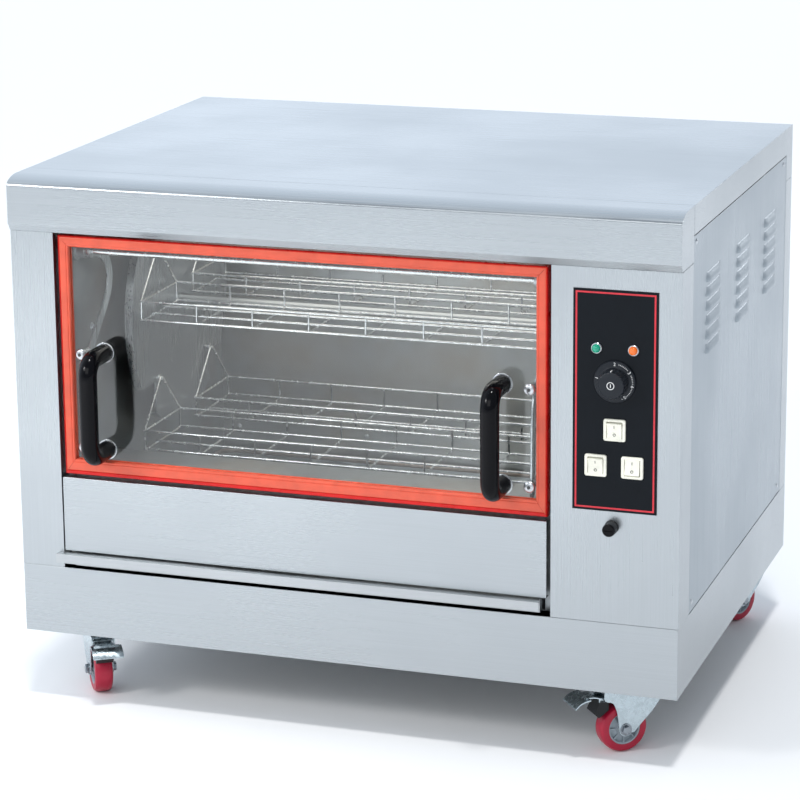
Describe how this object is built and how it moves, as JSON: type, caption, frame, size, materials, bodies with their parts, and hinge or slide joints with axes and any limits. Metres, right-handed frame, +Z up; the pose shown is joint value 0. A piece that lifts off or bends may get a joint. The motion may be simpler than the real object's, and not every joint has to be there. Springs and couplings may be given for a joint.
{
  "type": "rotisserie oven",
  "caption": "Glass-fronted steel rotisserie oven with hanging wire baskets, a lift-up door with tubular handles, a drip tray, a side control panel and swivel casters.",
  "frame": {"origin": "centre of the box that holds the oven, at floor level under the wheels", "axes": "+X to the oven's right as seen from the front, +Y from the front to the back, +Z up"},
  "size_m": [1.008, 0.8134, 0.8],
  "materials": {
    "cabinet_steel": "brushed stainless sheet",
    "liner_steel": "dull stainless sheet",
    "fittings_steel": "satin stainless",
    "wire_steel": "bright wire",
    "heater_sheath": "heat-darkened sheath",
    "clear_glass": "clear toughened glass",
    "red_seal": "satin silicone",
    "black_plastic": "gloss",
    "cream_plastic": "satin",
    "grey_plastic": "matte",
    "green_lens": "translucent",
    "orange_lens": "translucent",
    "motor_paint": "satin paint",
    "zinc_plate": "bright zinc plate",
    "red_tread": "polyurethane tread"
  },
  "bodies": {
    "cabinet": {"plinth_frame": "cabinet_steel", "left_front_column": "cabinet_steel", "right_front_column": "cabinet_steel", "left_side_panel": "cabinet_steel", "right_side_panel": "cabinet_steel", "rear_panel": "cabinet_steel", "left_rear_post": "cabinet_steel", "right_rear_post": "cabinet_steel", "lid": "cabinet_steel", "hood": "cabinet_steel", "apron_panel": "cabinet_steel", "cavity_left_wall": "liner_steel", "cavity_right_wall": "liner_steel", "cavity_back": "liner_steel", "cavity_roof": "liner_steel", "front_sill": "liner_steel", "base_pan": "liner_steel", "upper_heater": "heater_sheath", "lower_heater": "heater_sheath", "oven_lamp": "clear_glass", "control_plate": "black_plastic", "fuse_holder": "black_plastic", "cable_gland": "black_plastic", "heat_switch_frame": "cream_plastic", "turn_switch_frame": "cream_plastic", "lamp_switch_frame": "cream_plastic", "thermostat": "grey_plastic", "power_light": "green_lens", "heat_light": "orange_lens", "gear_motor": "motor_paint"},
    "door": {"door_glass": "clear_glass", "door_seal": "red_seal", "door_shaft": "fittings_steel", "left_door_arm": "fittings_steel", "right_door_arm": "fittings_steel", "left_handle": "black_plastic", "right_handle": "black_plastic"},
    "rotor": {"rotor_shaft": "fittings_steel", "left_rotor_plate": "fittings_steel", "right_rotor_plate": "fittings_steel"},
    "basket_1": {"basket_1": "wire_steel"},
    "basket_2": {"basket_2": "wire_steel"},
    "basket_3": {"basket_3": "wire_steel"},
    "basket_4": {"basket_4": "wire_steel"},
    "drip_tray": {"drip_tray": "fittings_steel"},
    "temperature_knob": {"temperature_knob": "grey_plastic"},
    "heat_rocker": {"heat_rocker": "cream_plastic"},
    "turn_rocker": {"turn_rocker": "cream_plastic"},
    "lamp_rocker": {"lamp_rocker": "cream_plastic"},
    "fuse_cap": {"fuse_cap": "black_plastic"},
    "front_left_fork": {"front_left_fork": "zinc_plate"},
    "front_left_wheel": {"front_left_wheel": "red_tread"},
    "front_left_brake": {"front_left_brake": "zinc_plate"},
    "front_right_fork": {"front_right_fork": "zinc_plate"},
    "front_right_wheel": {"front_right_wheel": "red_tread"},
    "front_right_brake": {"front_right_brake": "zinc_plate"},
    "rear_left_fork": {"rear_left_fork": "zinc_plate"},
    "rear_left_wheel": {"rear_left_wheel": "red_tread"},
    "rear_right_fork": {"rear_right_fork": "zinc_plate"},
    "rear_right_wheel": {"rear_right_wheel": "red_tread"}
  },
  "joints": [
    {"name": "door_hinge", "type": "hinge", "parent": "cabinet", "child": "door", "pos_m": [0, -0.28525, 0.684], "axis": [-1, 0, 0], "range_deg": [0, 65]},
    {"name": "rotor_spin", "type": "hinge", "parent": "cabinet", "child": "rotor", "pos_m": [0, 0.00875, 0.546], "axis": [1, 0, 0], "continuous": true},
    {"name": "basket_1_swing", "type": "hinge", "parent": "rotor", "child": "basket_1", "pos_m": [0, -0.09225, 0.647], "axis": [1, 0, 0], "continuous": true},
    {"name": "basket_2_swing", "type": "hinge", "parent": "rotor", "child": "basket_2", "pos_m": [0, -0.09225, 0.445], "axis": [1, 0, 0], "continuous": true},
    {"name": "basket_3_swing", "type": "hinge", "parent": "rotor", "child": "basket_3", "pos_m": [0, 0.10975, 0.445], "axis": [1, 0, 0], "continuous": true},
    {"name": "basket_4_swing", "type": "hinge", "parent": "rotor", "child": "basket_4", "pos_m": [0, 0.10975, 0.647], "axis": [1, 0, 0], "continuous": true},
    {"name": "tray_slide", "type": "slide", "parent": "cabinet", "child": "drip_tray", "axis": [0, -1, 0], "range_m": [0, 0.45]},
    {"name": "knob_turn", "type": "hinge", "parent": "cabinet", "child": "temperature_knob", "pos_m": [0.4075, -0.344, 0.562], "axis": [0, 1, 0], "range_deg": [0, 270]},
    {"name": "heat_rocker_tilt", "type": "hinge", "parent": "cabinet", "child": "heat_rocker", "pos_m": [0.4075, -0.33905, 0.493], "axis": [-1, 0, 0], "range_deg": [0, 14]},
    {"name": "turn_rocker_tilt", "type": "hinge", "parent": "cabinet", "child": "turn_rocker", "pos_m": [0.381, -0.33905, 0.441], "axis": [-1, 0, 0], "range_deg": [0, 14]},
    {"name": "lamp_rocker_tilt", "type": "hinge", "parent": "cabinet", "child": "lamp_rocker", "pos_m": [0.433, -0.33905, 0.441], "axis": [1, 0, 0], "range_deg": [0, 14]},
    {"name": "fuse_cap_turn", "type": "hinge", "parent": "cabinet", "child": "fuse_cap", "pos_m": [0.404, -0.34125, 0.353], "axis": [0, -1, 0], "range_deg": [0, 90]},
    {"name": "front_left_swivel", "type": "hinge", "parent": "cabinet", "child": "front_left_fork", "pos_m": [-0.423, -0.25925, 0.1], "axis": [0, 0, 1], "continuous": true},
    {"name": "front_left_wheel_roll", "type": "hinge", "parent": "front_left_fork", "child": "front_left_wheel", "pos_m": [-0.40846, -0.28081, 0.036], "axis": [0.829, 0.5592, 0], "continuous": true},
    {"name": "front_left_brake_press", "type": "hinge", "parent": "front_left_fork", "child": "front_left_brake", "pos_m": [-0.39392, -0.30236, 0.088], "axis": [0.829, 0.5592, 0], "range_deg": [0, 8]},
    {"name": "front_right_swivel", "type": "hinge", "parent": "cabinet", "child": "front_right_fork", "pos_m": [0.423, -0.25925, 0.1], "axis": [0, 0, 1], "continuous": true},
    {"name": "front_right_wheel_roll", "type": "hinge", "parent": "front_right_fork", "child": "front_right_wheel", "pos_m": [0.40279, -0.27561, 0.036], "axis": [0.6293, -0.7771, 0], "continuous": true},
    {"name": "front_right_brake_press", "type": "hinge", "parent": "front_right_fork", "child": "front_right_brake", "pos_m": [0.38259, -0.29197, 0.088], "axis": [0.6293, -0.7771, 0], "range_deg": [0, 8]},
    {"name": "rear_left_swivel", "type": "hinge", "parent": "cabinet", "child": "rear_left_fork", "pos_m": [-0.45, 0.34375, 0.1], "axis": [0, 0, 1], "continuous": true},
    {"name": "rear_left_wheel_roll", "type": "hinge", "parent": "rear_left_fork", "child": "rear_left_wheel", "pos_m": [-0.45452, 0.31815, 0.036], "axis": [0.9848, -0.1736, 0], "continuous": true},
    {"name": "rear_right_swivel", "type": "hinge", "parent": "cabinet", "child": "rear_right_fork", "pos_m": [0.45, 0.34375, 0.1], "axis": [0, 0, 1], "continuous": true},
    {"name": "rear_right_wheel_roll", "type": "hinge", "parent": "rear_right_fork", "child": "rear_right_wheel", "pos_m": [0.43779, 0.32079, 0.036], "axis": [0.8829, -0.4695, 0], "continuous": true}
  ],
  "couplings": [
    {"joint": "basket_1_swing", "follows": "rotor_spin", "ratio": -1},
    {"joint": "basket_2_swing", "follows": "rotor_spin", "ratio": -1},
    {"joint": "basket_3_swing", "follows": "rotor_spin", "ratio": -1},
    {"joint": "basket_4_swing", "follows": "rotor_spin", "ratio": -1}
  ]
}
